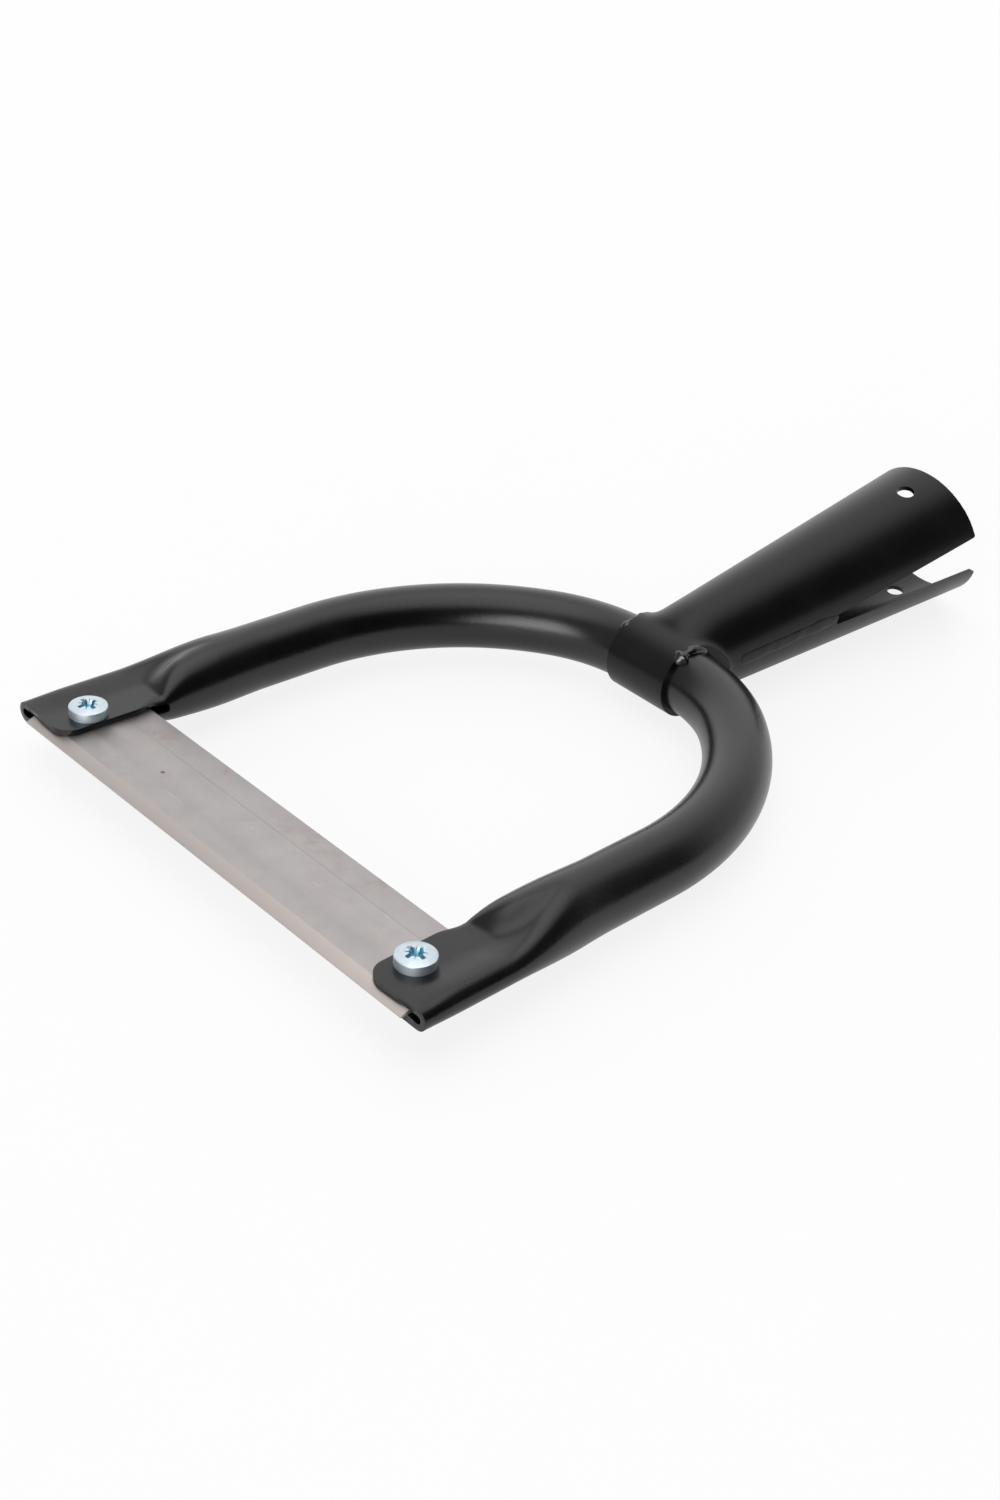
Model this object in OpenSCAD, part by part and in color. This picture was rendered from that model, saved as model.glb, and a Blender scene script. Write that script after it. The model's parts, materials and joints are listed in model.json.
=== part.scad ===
// Bark spud head: a bent tube bow that carries a bolted blade and a rolled handle socket.
// X runs from the blade to the handle, Y across the bow and Z up, in millimetres.
// The origin is on the ground, under the middle of the length.

/* [Bow tube] */
// Outer diameter of the bent tube
tube_d = 21.3; // [20.5:0.1:22]
// Wall of the bent tube
tube_wall = 2; // [1.6:0.1:2.4]
// From the line of the blade screws to the tube's centre line at the crown
bow_reach = 166.4; // [155:0.1:185]
// Straight stretch across the crown
crown_straight = 20; // [18:0.5:24]
// Centre-line radius of the bends beside the crown
shoulder_r = 54.8; // [50:0.1:60]
// Angle that each bend beside the crown turns
shoulder_turn = 35; // [30:0.5:40]
// Centre-line radius of the long bends down the sides
side_r = 90.5; // [86:0.1:94]
// Angle by which each arm spreads towards the blade
arm_spread = 2; // [0.5:0.1:4]

/* [Flattened ends] */
// From the line of the screws forward to the cut end of the lips
lip_front = 12.7; // [10:0.1:14]
// From the line of the screws back to the end of the slot for the blade
slot_back = 24.7; // [21:0.1:28]
// From the line of the screws back to where the tube is fully round
round_back = 62; // [54:0.5:66]
// From the arm's centre line inwards to the trimmed edge of the lips
lip_inboard = 11.6; // [10.5:0.1:13]
// From the arm's centre line outwards to the folded edge
fold_outboard = 13.4; // [11:0.1:14.5]
// Radius of the open eye inside the fold
eye_r = 1.3; // [1.05:0.05:1.6]
// Radius of the lips' inner front corner
lip_corner_r = 6; // [3:0.5:8]

/* [Blade] */
// Length of the blade across the bow
blade_len = 179; // [170:0.5:180]
// Width of the blade from its cutting edge to its back
blade_w = 33; // [30:0.5:36]
// Thickness of the blade's strip
blade_t = 2; // [1.5:0.1:2.5]
// From the cutting edge back to the line of the screws
blade_lead = 14.6; // [13.5:0.1:17]
// Width of the ground bevel at the cutting edge
bevel_w = 4; // [2:0.5:8]
// Thickness left at the cutting edge
edge_t = 0.4; // [0.2:0.1:1]
// Width of the shallow ground strip along the back
back_grind_w = 9; // [5:0.5:12]
// Depth of the shallow ground strip at the back edge
back_grind_depth = 0.25; // [0.1:0.05:0.4]

/* [Screws and nuts] */
// Distance between the two blade screws
screw_spacing = 155.4; // [150:0.2:160]
// Thread diameter of the blade screws
screw_d = 6; // [5:1:6]
// Length of the screws under the head
screw_len = 12; // [12:0.5:14]
// Diameter of the screw heads
head_d = 12; // [10:0.5:14]
// Height of the upright rim of the head
head_rim_h = 2.8; // [2:0.1:3.5]
// Rise of the dome above the rim
head_dome_h = 0.8; // [0.4:0.1:1.2]
// Width of the cross recess from tip to tip
recess_w = 6.6; // [5:0.1:7.5]
// Width of one arm of the cross recess
recess_arm_w = 1.5; // [1:0.1:2]
// Depth of the cross recess
recess_depth = 2.4; // [1.5:0.1:2.6]
// Width of the nuts across their flats
nut_flats = 10; // [9:0.5:11]
// Height of the nuts with the collar that holds the nylon ring
nut_h = 6; // [5:0.5:6]
// Play of the screws in the holes of the lips and the blade
hole_play = 0.5; // [0.2:0.1:1]

/* [Handle socket] */
// Thickness of the rolled sheet
sheet_t = 1.6; // [1.4:0.1:2]
// Gap between the bow tube and the collar rolled round it
collar_play = 0.1; // [0.1:0.02:0.3]
// Length of the collar along the tube
collar_len = 25; // [20:0.5:28]
// Outer diameter of the socket's cone at the line of the crown
cone_root_d = 29.4; // [28:0.1:31]
// Outer diameter of the socket at its mouth
mouth_d = 47.6; // [44:0.1:52]
// From the crown's centre line to the mouth along the socket
socket_len = 127.4; // [120:0.2:140]
// Rake of the mouth, with its underside reaching further back
mouth_rake = 5; // [0:0.5:6]
// Upward tilt of the socket against the plane of the bow
socket_tilt = 5.2; // [3:0.1:8]
// Height of the socket's centre line above the bow's at the crown
socket_lift = 0.5; // [0:0.1:1]
// Where the flared neck has reached the cone, along the socket
neck_end = 12; // [10:0.5:16]

/* [Socket seam and holes] */
// Width of the seam that the weld fills
seam_w = 1.4; // [1:0.1:2.4]
// Where the seam begins, along the socket
seam_start = 19.5; // [17:0.5:30]
// Where the weld ends and the open slit begins, along the socket
slit_start = 63; // [55:0.5:75]
// Width of the open slit at the mouth
slit_mouth_w = 13.8; // [8:0.2:18]
// Turn of the seam and slit below the socket's right side
seam_dip = 1; // [0:0.5:4]
// Width of the weld bead on the seam
bead_w = 5.2; // [3.6:0.2:6]
// Height of the weld bead above the sheet
bead_h = 0.8; // [0.5:0.1:1.2]
// Diameter of the two holes for the handle's screw
handle_hole_d = 6; // [4:0.5:7]
// Where the handle's screw crosses, along the socket
handle_hole_at = 114.5; // [105:0.5:116]
// Turn of the screw's line round the socket, with its upper end towards the seam's side
handle_hole_turn = 6; // [0:0.5:10]
// Lean of the screw's line, with its lower end towards the mouth
handle_hole_lean = 7; // [0:0.5:8]
// From the socket's centre line to the screw's line, towards the seam's side
handle_hole_side = 1.1; // [0:0.1:2]

/* [Hidden] */
$fn = 64;
LEFT = 0;
RIGHT = 1;

black_paint = "#1b1b1d";
bare_steel = "#b2acaa";
blue_zinc = "#c3d0da";
white_nylon = "#d9dcd6";

tube_r = tube_d / 2;
bore_r = tube_r - tube_wall;
lip_top = blade_t / 2 + tube_wall;
collar_r = tube_r + collar_play + sheet_t;

// Centres of the bends, where the arm starts, and lengths along the arm from there
shoulder_centre = [bow_reach - shoulder_r, crown_straight / 2];
side_centre = shoulder_centre + (shoulder_r - side_r) * [cos(shoulder_turn), sin(shoulder_turn)];
arm_root = side_centre + side_r * [sin(arm_spread), cos(arm_spread)];
arm_front = (arm_root.x + lip_front) / cos(arm_spread);
arm_slot = (arm_root.x - slot_back) / cos(arm_spread);
arm_round = (arm_root.x - round_back) / cos(arm_spread);
lug_len = 30;
arm_lug = arm_front - lug_len;

// Every second stretch of the tube is a hair thinner on both skins and runs on inside its
// neighbours' walls, so that the stretches fuse into one wall
bend_lap = 0.03;
bend_lap_len = 1;

// The blend from round to flat: rings along it, points at each end of a ring, its lap, and the
// wider lap of its hollow, whose facets dip inwards between the points
blend_rings = 15;
end_points = 17;
lap = 0.08;
hollow_lap = 0.24;
lap_len = 2;
min_flat = 0.3;

// How far the inboard wall swells behind the slot where the tube was pressed, and the share
// of the blend in which that wall rises, starting a little behind the lips
press_bulge = 0.8;
rise_share = 0.86;
rise_delay = 0.13;
rise_power = 2.4;

// Play of the slot's round end above and below the blade
slot_play = 0.25;

// Sides of the circle that shapes the screw head's dome
dome_sides = 180;

// The nut: its hexagon, its round collar, and the seat of the nylon ring inside that collar
nut_hex_h = nut_h * 0.68;
nut_corner_r = nut_flats / 2 / cos(30);
nut_chamfer = 0.1;
nut_collar_r = nut_flats / 2 - 0.6;
nut_collar_wall = 0.7;
nut_rim = 0.4;
ring_r = nut_collar_r - nut_collar_wall;
ring_h = nut_h - nut_hex_h - nut_rim;

// Length of the short piece of cone on which the neck's flare ends, where the whole cone
// takes over, and how far the cone's hollow reaches into the neck
neck_rim = 0.8;
cone_start = neck_end - neck_rim / 2;
hollow_lead = 4;

// Slope of the cone's wall and its outer radius along the socket
cone_slope = (mouth_d - cone_root_d) / 2 / socket_len;
function cone_r(s) = cone_root_d / 2 + cone_slope * s;

// The lowest point of the raked mouth: its radius, and its place along the socket
mouth_low_r = mouth_d / 2 / (1 - cone_slope * tan(mouth_rake));
mouth_low_at = socket_len + mouth_low_r * tan(mouth_rake);

// The middle of the length, and the depth of the neck's lowest point below the bow
rear_reach = bow_reach + mouth_low_at * cos(socket_tilt) + mouth_low_r * sin(socket_tilt);
middle_x = (rear_reach - blade_lead) / 2;
neck_depth = cone_r(cone_start) * cos(socket_tilt) - cone_start * sin(socket_tilt) - socket_lift;

// Spare length of cutting shapes past the faces that they cut
past = 5;

function ease_in_out(t) = t * t * (3 - 2 * t);
function ease_out(t) = 1 - pow(1 - t, rise_power);
function between(a, b, t) = a + (b - a) * t;
function clamp01(t) = max(0, min(1, t));

// Moves from the frame of the screws to the frame of the part
module in_place() {
    translate([-middle_x, 0, neck_depth]) children();
}

module on_side(side) {
    mirror([0, side, 0]) children();
}

// Puts the X axis along the arm towards the blade, with Y inboard
module along_arm() {
    translate([arm_root.x, arm_root.y, 0]) rotate([0, 0, 180 - arm_spread]) children();
}

// Puts the Z axis along the socket and the X axis down
module along_socket() {
    translate([bow_reach, 0, socket_lift]) rotate([0, 90 - socket_tilt, 0]) children();
}

// The same, turned so that the seam lies on the -Y side
module along_seam() {
    along_socket() rotate([0, 0, seam_dip]) children();
}

// One end of a cross-section: an arc of radius r about (y, 0), from one angle to another
function end_arc(y, r, from, to) =
    [for (k = [0:end_points - 1]) let (a = between(from, to, k / (end_points - 1)))
        [y + r * cos(a), r * sin(a)]];

// A cross-section with one round end inboard and one outboard, joined by their tangents
function two_round_ends(inboard, r_in, outboard, r_out) =
    let (c_in = inboard - r_in, c_out = r_out - outboard,
         touch = acos((r_out - r_in) / (c_in - c_out)))
    concat(end_arc(c_in, r_in, -touch, touch),
           end_arc(c_out, r_out, touch, 360 - touch));

// Cross-section of the blend at t, 0 where the tube is round and 1 at the flat lips,
// with its skin moved inwards by inset
function blend_section(t, inset) =
    let (rise_in = ease_out(clamp01((1 - t) / rise_share - rise_delay)),
         rise_out = ease_in_out(1 - t),
         r_in = between(lip_top, tube_r - min_flat / 2, rise_in),
         r_out = between(lip_top, tube_r - min_flat / 2, rise_out),
         side_in = between(lip_inboard, tube_r, rise_out) + press_bulge * sin(180 * t),
         side_out = between(fold_outboard, tube_r, rise_out))
    two_round_ends(side_in - inset, r_in - inset, side_out - inset, r_out - inset);

// A closed solid through rings of points that all have the same count
module skin(rings) {
    n = len(rings[0]);
    last = len(rings) - 1;
    points = [for (ring = rings) each ring];
    walls = [for (i = [0:last - 1], k = [0:n - 1])
        let (a = i * n + k, b = i * n + (k + 1) % n)
        each [[a, a + n, b], [b, a + n, b + n]]];
    caps = [[for (k = [0:n - 1]) k], [for (k = [n - 1:-1:0]) last * n + k]];
    polyhedron(points, concat(walls, caps));
}

// The skin of the blend from round tube to lips, run on past both ends by the given lengths
module blend_skin(inset, start_past, end_past) {
    stations = [for (i = [0:blend_rings]) i / blend_rings];
    first = [for (p = blend_section(0, inset)) [arm_round - start_past, p.x, p.y]];
    last = [for (p = blend_section(1, inset)) [arm_lug + end_past, p.x, p.y]];
    middle = [for (t = stations)
        [for (p = blend_section(t, inset)) [between(arm_round, arm_lug, t), p.x, p.y]]];
    skin(concat([first], middle, [last]));
}

// Ring of the tube's wall, thinner by inset on both of its skins
module tube_ring(inset) {
    difference() {
        circle(r = tube_r - inset);
        circle(r = bore_r + inset);
    }
}

// A bend of the tube, thinner by inset and run on past both ends by run_on
module tube_bend(centre, r, from, to, inset, run_on) {
    extra = run_on / r * 180 / PI;
    translate([centre.x, centre.y, 0]) rotate([0, 0, from - extra])
        rotate_extrude(angle = to - from + 2 * extra) translate([r, 0]) tube_ring(inset);
}

// The straight stretch across the crown, run on into both shoulders
module crown() {
    half_len = crown_straight / 2 + bend_lap_len;
    translate([bow_reach, -half_len, 0]) rotate([-90, 0, 0])
        linear_extrude(2 * half_len) tube_ring(bend_lap);
}

module round_side() {
    tube_bend(shoulder_centre, shoulder_r, 0, shoulder_turn, 0, 0);
    tube_bend(side_centre, side_r, shoulder_turn, 90 - arm_spread, bend_lap, bend_lap_len);
    along_arm() rotate([0, 90, 0]) linear_extrude(arm_round - lap_len / 2) tube_ring(0);
}

// The flat lips and the fold between them, seen from the front
module lip_profile() {
    fold_y = lip_top - fold_outboard;
    difference() {
        union() {
            translate([fold_y, -lip_top]) square([lip_inboard - fold_y, 2 * lip_top]);
            translate([fold_y, 0]) circle(r = lip_top);
        }
        translate([fold_y, -blade_t / 2]) square([lip_inboard - fold_y + past, blade_t]);
        translate([fold_y, 0]) circle(r = eye_r);
    }
}

module blend_wall() {
    difference() {
        blend_skin(lap, lap_len, lap_len);
        blend_skin(tube_wall - hollow_lap, lap_len + past, lap_len + past);
    }
}

// What rounds the inner front corner of the lips
module corner_cutter() {
    translate([arm_front - lip_corner_r, lip_inboard - lip_corner_r, -lip_top - past])
        linear_extrude(2 * (lip_top + past)) difference() {
            square(lip_corner_r + past);
            circle(r = lip_corner_r);
        }
}

// The saw cut through the inner wall that lets the blade in, round at its end
module blade_slot() {
    slot_r = blade_t / 2 + slot_play;
    slot_end = arm_slot + slot_r;
    rotate([-90, 0, 0]) linear_extrude(tube_d) {
        translate([slot_end, 0]) circle(r = slot_r);
        translate([slot_end, -slot_r]) square([arm_lug + past - slot_end, 2 * slot_r]);
    }
    translate([slot_end, 0, -blade_t / 2]) cube([lug_len * 2, tube_d, blade_t]);
}

module screw_hole(side) {
    translate([0, (side == LEFT ? 1 : -1) * screw_spacing / 2, -tube_d])
        cylinder(d = screw_d + hole_play, h = 2 * tube_d);
}

module bow_side() {
    round_side();
    difference() {
        along_arm() difference() {
            union() {
                blend_wall();
                translate([arm_lug, 0, 0]) rotate([90, 0, 90])
                    linear_extrude(lug_len) lip_profile();
            }
            blade_slot();
            corner_cutter();
        }
        screw_hole(LEFT);
    }
}

module bow_tube() {
    color(black_paint) in_place() {
        crown();
        on_side(LEFT) bow_side();
        on_side(RIGHT) bow_side();
    }
}

// Cross-section of the blade from back to cutting edge: two shallow grinds on the top
module blade_profile() {
    back = blade_w - blade_lead;
    polygon([
        [-blade_lead, -blade_t / 2],
        [back, -blade_t / 2],
        [back, blade_t / 2 - back_grind_depth],
        [back - back_grind_w, blade_t / 2],
        [bevel_w - blade_lead, blade_t / 2],
        [-blade_lead, edge_t - blade_t / 2]
    ]);
}

module blade() {
    color(bare_steel) in_place() difference() {
        translate([0, blade_len / 2, 0]) rotate([90, 0, 0])
            linear_extrude(blade_len) blade_profile();
        screw_hole(LEFT);
        screw_hole(RIGHT);
    }
}

// Stands its children on the top of a lip, on the axis of one screw
module at_screw(side) {
    in_place() translate([0, (side == LEFT ? 1 : -1) * screw_spacing / 2, lip_top]) children();
}

// Pan head: an upright rim under a shallow dome, over a plain shank
module screw_body() {
    dome_r = (pow(head_d / 2, 2) + pow(head_dome_h, 2)) / (2 * head_dome_h);
    crest = head_rim_h + head_dome_h;
    rotate_extrude() {
        square([head_d / 2, head_rim_h]);
        intersection() {
            translate([0, crest - dome_r]) circle(r = dome_r, $fn = dome_sides);
            translate([0, head_rim_h]) square([head_d / 2, head_dome_h]);
        }
    }
    translate([0, 0, -screw_len]) cylinder(d = screw_d, h = screw_len + head_rim_h / 2);
}

// Cross recess with four finer marks between its arms
module cross_recess() {
    floor_z = head_rim_h + head_dome_h - recess_depth;
    mark_w = recess_arm_w / 3;
    mark_depth = recess_depth / 4;
    for (turn = [0, 90]) rotate([0, 0, turn])
        translate([-recess_w / 2, -recess_arm_w / 2, floor_z])
            cube([recess_w, recess_arm_w, recess_depth + past]);
    for (turn = [45, 135]) rotate([0, 0, turn])
        translate([-recess_w / 2, -mark_w / 2, floor_z + recess_depth - mark_depth])
            cube([recess_w, mark_w, mark_depth + past]);
}

module blade_screw(side) {
    color(blue_zinc) at_screw(side) difference() {
        screw_body();
        cross_recess();
    }
}

// Hangs its children under a lip, upside down, on the axis of one screw
module under_lip(side) {
    at_screw(side) translate([0, 0, -2 * lip_top]) mirror([0, 0, 1]) children();
}

module lock_nut(side) {
    chamfer_r = nut_flats / 2 - nut_chamfer;
    past_r = nut_corner_r + nut_chamfer;
    color(blue_zinc) under_lip(side) difference() {
        union() {
            intersection() {
                cylinder(r = nut_corner_r, h = nut_hex_h, $fn = 6);
                rotate_extrude() polygon([
                    [0, 0], [chamfer_r, 0], [past_r, nut_corner_r - chamfer_r],
                    [past_r, nut_hex_h - nut_corner_r + chamfer_r], [chamfer_r, nut_hex_h],
                    [0, nut_hex_h]
                ]);
            }
            cylinder(r = nut_collar_r, h = nut_h);
        }
        translate([0, 0, -past]) cylinder(d = screw_d, h = nut_h + 2 * past);
        translate([0, 0, nut_hex_h]) cylinder(r = ring_r, h = ring_h);
    }
}

module nylon_ring(side) {
    color(white_nylon) under_lip(side) translate([0, 0, nut_hex_h]) difference() {
        cylinder(r = ring_r, h = ring_h);
        translate([0, 0, -past]) cylinder(d = screw_d, h = ring_h + 2 * past);
    }
}

// Solid cone along the socket, moved inwards by inset
module cone(from, to, inset) {
    along_socket() translate([0, 0, from])
        cylinder(r1 = cone_r(from) - inset, r2 = cone_r(to) - inset, h = to - from);
}

module collar_solid(r, len) {
    translate([bow_reach, len / 2, 0]) rotate([90, 0, 0]) cylinder(r = r, h = len);
}

// The outside of the socket: collar, flared neck and cone
module socket_outside() {
    collar_solid(collar_r, collar_len);
    hull() {
        collar_solid(collar_r - lap, collar_len - 2 * lap, $fn = 32);
        cone(neck_end - neck_rim, neck_end, lap, $fn = 32);
    }
    cone(cone_start, socket_len + past, 0);
}

module socket_hollow() {
    collar_solid(tube_r + collar_play, collar_len + 2 * past);
    cone(neck_end - hollow_lead, socket_len + 2 * past, sheet_t);
}

// What lies behind the raked plane of the mouth
module behind_mouth() {
    along_socket() translate([0, 0, socket_len]) rotate([0, -mouth_rake, 0])
        translate([-mouth_d, -mouth_d, 0]) cube(2 * mouth_d);
}

// The V of the open slit with the seam's narrow gap behind it, cut through one wall
module seam_cutter() {
    reach = socket_len + 2 * past;
    growth = (reach - slit_start) / (socket_len - slit_start);
    reach_w = between(seam_w, slit_mouth_w, growth);
    along_seam() rotate([90, 0, 0]) linear_extrude(mouth_d) polygon([
        [-seam_w / 2, seam_start], [seam_w / 2, seam_start], [seam_w / 2, slit_start],
        [reach_w / 2, reach], [-reach_w / 2, reach], [-seam_w / 2, slit_start]
    ]);
}

module socket_wall() {
    difference() {
        socket_outside();
        socket_hollow();
        seam_cutter();
        behind_mouth();
    }
}

module handle_socket() {
    color(black_paint) in_place() difference() {
        socket_wall();
        along_socket() translate([0, -handle_hole_side, handle_hole_at])
            rotate([0, -handle_hole_lean, 0]) rotate([0, 0, handle_hole_turn])
                rotate([0, 90, 0]) translate([0, 0, -mouth_d])
                    cylinder(d = handle_hole_d, h = 2 * mouth_d);
    }
}

// The weld that fills the seam and stands proud of it as a low bead
module socket_seam_weld() {
    weld_len = slit_start - seam_start;
    bead_r = (pow(bead_w / 2, 2) + pow(bead_h, 2)) / (2 * bead_h);
    color(black_paint) in_place() difference() {
        along_seam() translate([0, bead_r - bead_h - cone_r(seam_start), seam_start])
            rotate([atan(cone_slope), 0, 0]) cylinder(r = bead_r, h = weld_len);
        socket_wall();
        cone(0, socket_len, sheet_t);
    }
}

// A short fillet weld between the end of the collar and the bow tube
module collar_weld(side) {
    weld_from = 35;
    weld_turn = 70;
    weld_r = 1.6;
    color(black_paint) in_place() difference() {
        on_side(side) translate([bow_reach, collar_len / 2, 0]) rotate([-90, 0, 0])
            rotate([0, 0, -90 - weld_from]) rotate_extrude(angle = weld_turn)
                translate([tube_r, 0]) intersection() {
                    circle(r = weld_r);
                    square(2 * weld_r);
                }
        on_side(side) {
            translate([bow_reach, 0, 0]) rotate([-90, 0, 0])
                cylinder(r = tube_r, h = crown_straight / 2);
            translate([shoulder_centre.x, shoulder_centre.y, 0])
                rotate_extrude(angle = shoulder_turn) translate([shoulder_r, 0]) circle(r = tube_r);
        }
    }
}

bow_tube();
handle_socket();
blade();
blade_screw(LEFT);  // blade_screw_left
blade_screw(RIGHT);  // blade_screw_right
lock_nut(LEFT);  // lock_nut_left
lock_nut(RIGHT);  // lock_nut_right
nylon_ring(LEFT);  // nylon_ring_left
nylon_ring(RIGHT);  // nylon_ring_right
socket_seam_weld();
collar_weld(LEFT);  // collar_weld_left
collar_weld(RIGHT);  // collar_weld_right
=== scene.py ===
"""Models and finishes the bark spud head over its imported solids, and sets its camera, lights and floor."""

import json
import math

import bmesh
import bpy
import numpy as np
from bpy.props import FloatProperty, FloatVectorProperty, PointerProperty
from bpy.types import Operator, Panel, PropertyGroup
from mathutils import Euler, Matrix, Vector


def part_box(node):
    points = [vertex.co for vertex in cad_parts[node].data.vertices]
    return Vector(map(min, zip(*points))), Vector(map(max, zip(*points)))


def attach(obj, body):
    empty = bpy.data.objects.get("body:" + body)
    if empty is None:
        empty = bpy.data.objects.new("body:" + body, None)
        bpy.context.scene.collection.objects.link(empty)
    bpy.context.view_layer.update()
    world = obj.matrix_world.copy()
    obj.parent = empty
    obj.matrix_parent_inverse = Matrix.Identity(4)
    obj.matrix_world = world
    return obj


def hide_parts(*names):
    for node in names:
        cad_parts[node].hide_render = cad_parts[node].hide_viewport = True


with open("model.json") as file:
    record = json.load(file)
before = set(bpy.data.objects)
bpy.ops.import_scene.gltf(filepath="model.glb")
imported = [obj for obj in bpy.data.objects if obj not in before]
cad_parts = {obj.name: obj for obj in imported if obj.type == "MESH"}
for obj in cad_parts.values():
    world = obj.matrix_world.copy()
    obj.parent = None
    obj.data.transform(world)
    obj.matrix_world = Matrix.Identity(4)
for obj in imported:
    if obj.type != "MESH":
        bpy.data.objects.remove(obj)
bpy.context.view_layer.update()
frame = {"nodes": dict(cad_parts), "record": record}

bl_info = {
    "name": "Bark Spud Head",
    "version": (1, 0, 0),
    "blender": (4, 5, 0),
    "location": "3D View > Sidebar > Bark Spud",
    "description": "Models the bow, the blade, the handle socket and the fixings of a bark spud head",
    "category": "Add Mesh",
}

MM = 0.001
BODY = "root"
UP = Vector((0, 0, 1))
SIDES = {"left": 1, "right": -1}

# A length in metres that counts as none, and one within which heights are level and mirrored points meet
TINY = 1e-9
CLOSE = 0.01 * MM

# From the blade's cutting edge back to the line between the screws
BLADE_LEAD = 14.6 * MM

# The screws' frame starts midway between the screws, in the middle of the blade's thickness
blade_low, blade_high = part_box("blade")
ORIGIN = Vector((blade_low.x + BLADE_LEAD, 0, (blade_low.z + blade_high.z) / 2))


def millimetres(name, description, size):
    """A length property whose default is given in millimetres."""
    return FloatProperty(name=name, description=description, default=size * MM, unit="LENGTH", precision=5)


def degrees(name, description, angle):
    """An angle property whose default is given in degrees."""
    return FloatProperty(name=name, description=description, default=math.radians(angle), unit="ROTATION")


def colour(name, description, *rgb):
    """A colour property."""
    return FloatVectorProperty(name=name, description=description, default=rgb, subtype="COLOR",
                               min=0, max=1)


class BowSizes(PropertyGroup):
    """Sizes of the bent tube and its pressed ends."""
    tube_r: millimetres("Tube radius", "Outer radius of the tube", 10.65)
    wall: millimetres("Wall", "Thickness of the tube's wall", 2)
    reach: millimetres("Reach", "From the screws' line to the tube's centre line at the crown", 166.4)
    crown: millimetres("Crown", "Half of the straight stretch across the crown", 10)
    shoulder_r: millimetres("Shoulder radius", "Centre-line radius of the bend beside the crown", 54.8)
    shoulder_turn: degrees("Shoulder turn", "Angle that the bend beside the crown turns", 35)
    side_r: millimetres("Side radius", "Centre-line radius of the long bend down the side", 90.5)
    arm_spread: degrees("Arm spread", "Angle by which each arm spreads towards the blade", 2)
    lip_front: millimetres("Lip front", "From the screws' line to the cut end of the lips", 12.7)
    slot_back: millimetres("Slot end", "From the screws' line back to the end of the slot", 24.7)
    round_back: millimetres("Round tube", "From the screws' line back to the round tube", 62)
    lug_length: millimetres("Lug", "Length of the fully pressed end", 30)
    lip_inboard: millimetres("Lip edge", "From the arm's centre line to the lips' inner edge", 11.6)
    fold_outboard: millimetres("Fold", "From the arm's centre line to the folded edge", 13.4)
    lip_half: millimetres("Lip height", "Half of the height over both lips", 3)
    slot_half: millimetres("Slot", "Half of the height of the slot's end", 1.25)
    corner_r: millimetres("Lip corner", "Radius of the lips' inner front corner", 6.6)
    edge: millimetres("Edge", "Rounding of the painted cut edges", 0.3)


class BladeSizes(PropertyGroup):
    """Sizes of the blade."""
    length: millimetres("Length", "Length of the blade across the bow", 179)
    width: millimetres("Width", "From the cutting edge to the back", 33)
    thickness: millimetres("Thickness", "Thickness of the strip", 2)
    bevel: millimetres("Bevel", "Width of the ground bevel at the cutting edge", 4)
    edge: millimetres("Cutting edge", "Thickness left at the cutting edge", 0.4)
    back_grind: millimetres("Back grind", "Width of the shallow ground strip along the back", 9)
    back_depth: millimetres("Back grind depth", "Depth of that strip at the back edge", 0.25)


class FixingSizes(PropertyGroup):
    """Sizes of the screws and nuts."""
    spacing: millimetres("Spacing", "Distance between the two screws", 155.4)
    thread_r: millimetres("Thread radius", "Outer radius of the thread", 3)
    length: millimetres("Length", "Length of the screw under its head", 12)
    head_r: millimetres("Head radius", "Radius of the pan head", 6)
    head_h: millimetres("Head height", "Height of the head at its crest", 3.6)
    hole_r: millimetres("Hole radius", "Radius of the holes for the screws", 3.25)


class SocketSizes(PropertyGroup):
    """Sizes of the rolled handle socket."""
    sheet: millimetres("Sheet", "Thickness of the rolled sheet", 1.6)
    collar_r: millimetres("Collar radius", "Outer radius of the collar", 12.35)
    collar_half: millimetres("Collar", "Half of the collar's length along the tube", 12.5)
    play: millimetres("Play", "Gap between the tube and the collar", 0.1)
    root_r: millimetres("Root radius", "Outer radius of the cone at the crown's centre line", 14.7)
    mouth_r: millimetres("Mouth radius", "Outer radius of the cone at its mouth", 23.8)
    length: millimetres("Length", "From the crown's centre line to the mouth", 128.4)
    lift: millimetres("Lift", "Height of the socket's centre line at the crown", 0.5)
    tilt: degrees("Tilt", "Upward tilt of the socket", 5.2)
    rake: degrees("Rake", "Rake of the mouth", 7.5)
    skew: degrees("Skew", "Turn of the mouth towards the left side", 0.5)
    neck_blend: millimetres("Neck", "Softness of the hollow between the collar and the cone", 2)
    neck_end: millimetres("Neck end", "Where the cone is no longer drawn in, along the socket", 16)
    neck_draw: millimetres("Neck draw", "How far the cone is drawn in at the crown's centre line", 3)
    hole_r: millimetres("Hole radius", "Radius of the holes for the handle's screw", 3)


class SpudColours(PropertyGroup):
    """Colours of the finishes."""
    paint: colour("Paint", "Black coating of the bow and the socket", 0.002, 0.002, 0.0023)
    paint_edge: colour("Paint edge", "The coating where dust dulls it", 0.008, 0.0077, 0.0076)
    steel: colour("Steel", "Ground steel of the blade", 0.43, 0.405, 0.40)
    bevel: colour("Bevel", "Freshly ground bevel of the blade", 0.62, 0.55, 0.52)
    rust: colour("Rust", "Small rust spot on the blade", 0.16, 0.075, 0.055)
    stain: colour("Stain", "Brownish stains on the blade", 0.33, 0.245, 0.21)
    zinc: colour("Zinc", "Bluish zinc of the screws and nuts", 0.62, 0.68, 0.72)
    recess: colour("Recess", "Blue cast in the recesses of the screws", 0.34, 0.66, 0.78)
    nylon: colour("Nylon", "Rings in the nuts", 0.72, 0.74, 0.7)
    floor: colour("Floor", "Floor and backdrop", 0.9, 0.9, 0.9)


# Shader maths

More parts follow.
